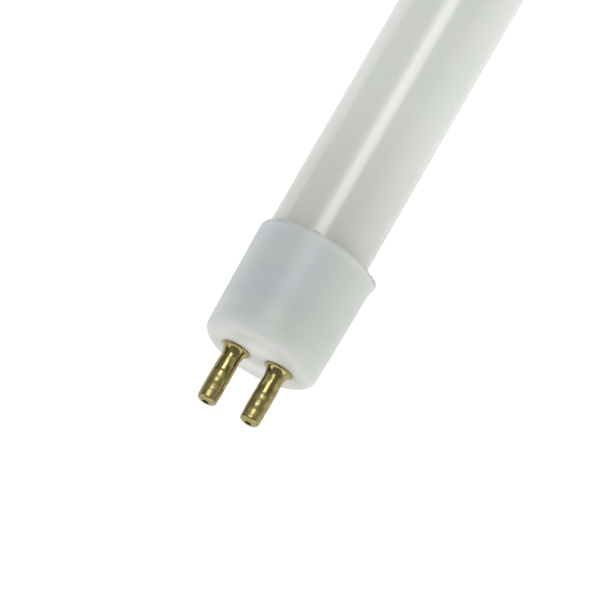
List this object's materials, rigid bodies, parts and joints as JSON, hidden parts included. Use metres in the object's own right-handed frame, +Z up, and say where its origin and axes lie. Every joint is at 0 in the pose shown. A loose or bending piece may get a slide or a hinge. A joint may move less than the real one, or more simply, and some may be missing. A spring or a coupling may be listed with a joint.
{
  "type": "fluorescent tube",
  "caption": "Slim straight fluorescent lamp tube: opaque white glass, milky plastic end caps cemented over its ends and hollow brass contact pins.",
  "frame": {"origin": "middle of the glass tube, on its axis", "axes": "+X along the tube to the right end, +Z up; each end's pins lie side by side along Y"},
  "size_m": [0.22, 0.0152, 0.0142],
  "materials": {
    "phosphor_glass": "gloss",
    "milky_plastic": "satin",
    "cement": "matt",
    "brass": "worn gloss",
    "lead_wire": "dull"
  },
  "bodies": {
    "root": {"glass_tube": "phosphor_glass", "left_end_cap": "milky_plastic", "right_end_cap": "milky_plastic", "left_cement_ring": "cement", "right_cement_ring": "cement", "left_front_pin": "brass", "left_back_pin": "brass", "right_front_pin": "brass", "right_back_pin": "brass", "left_front_lead_wire": "lead_wire", "left_back_lead_wire": "lead_wire", "right_front_lead_wire": "lead_wire", "right_back_lead_wire": "lead_wire"}
  },
  "joints": []
}
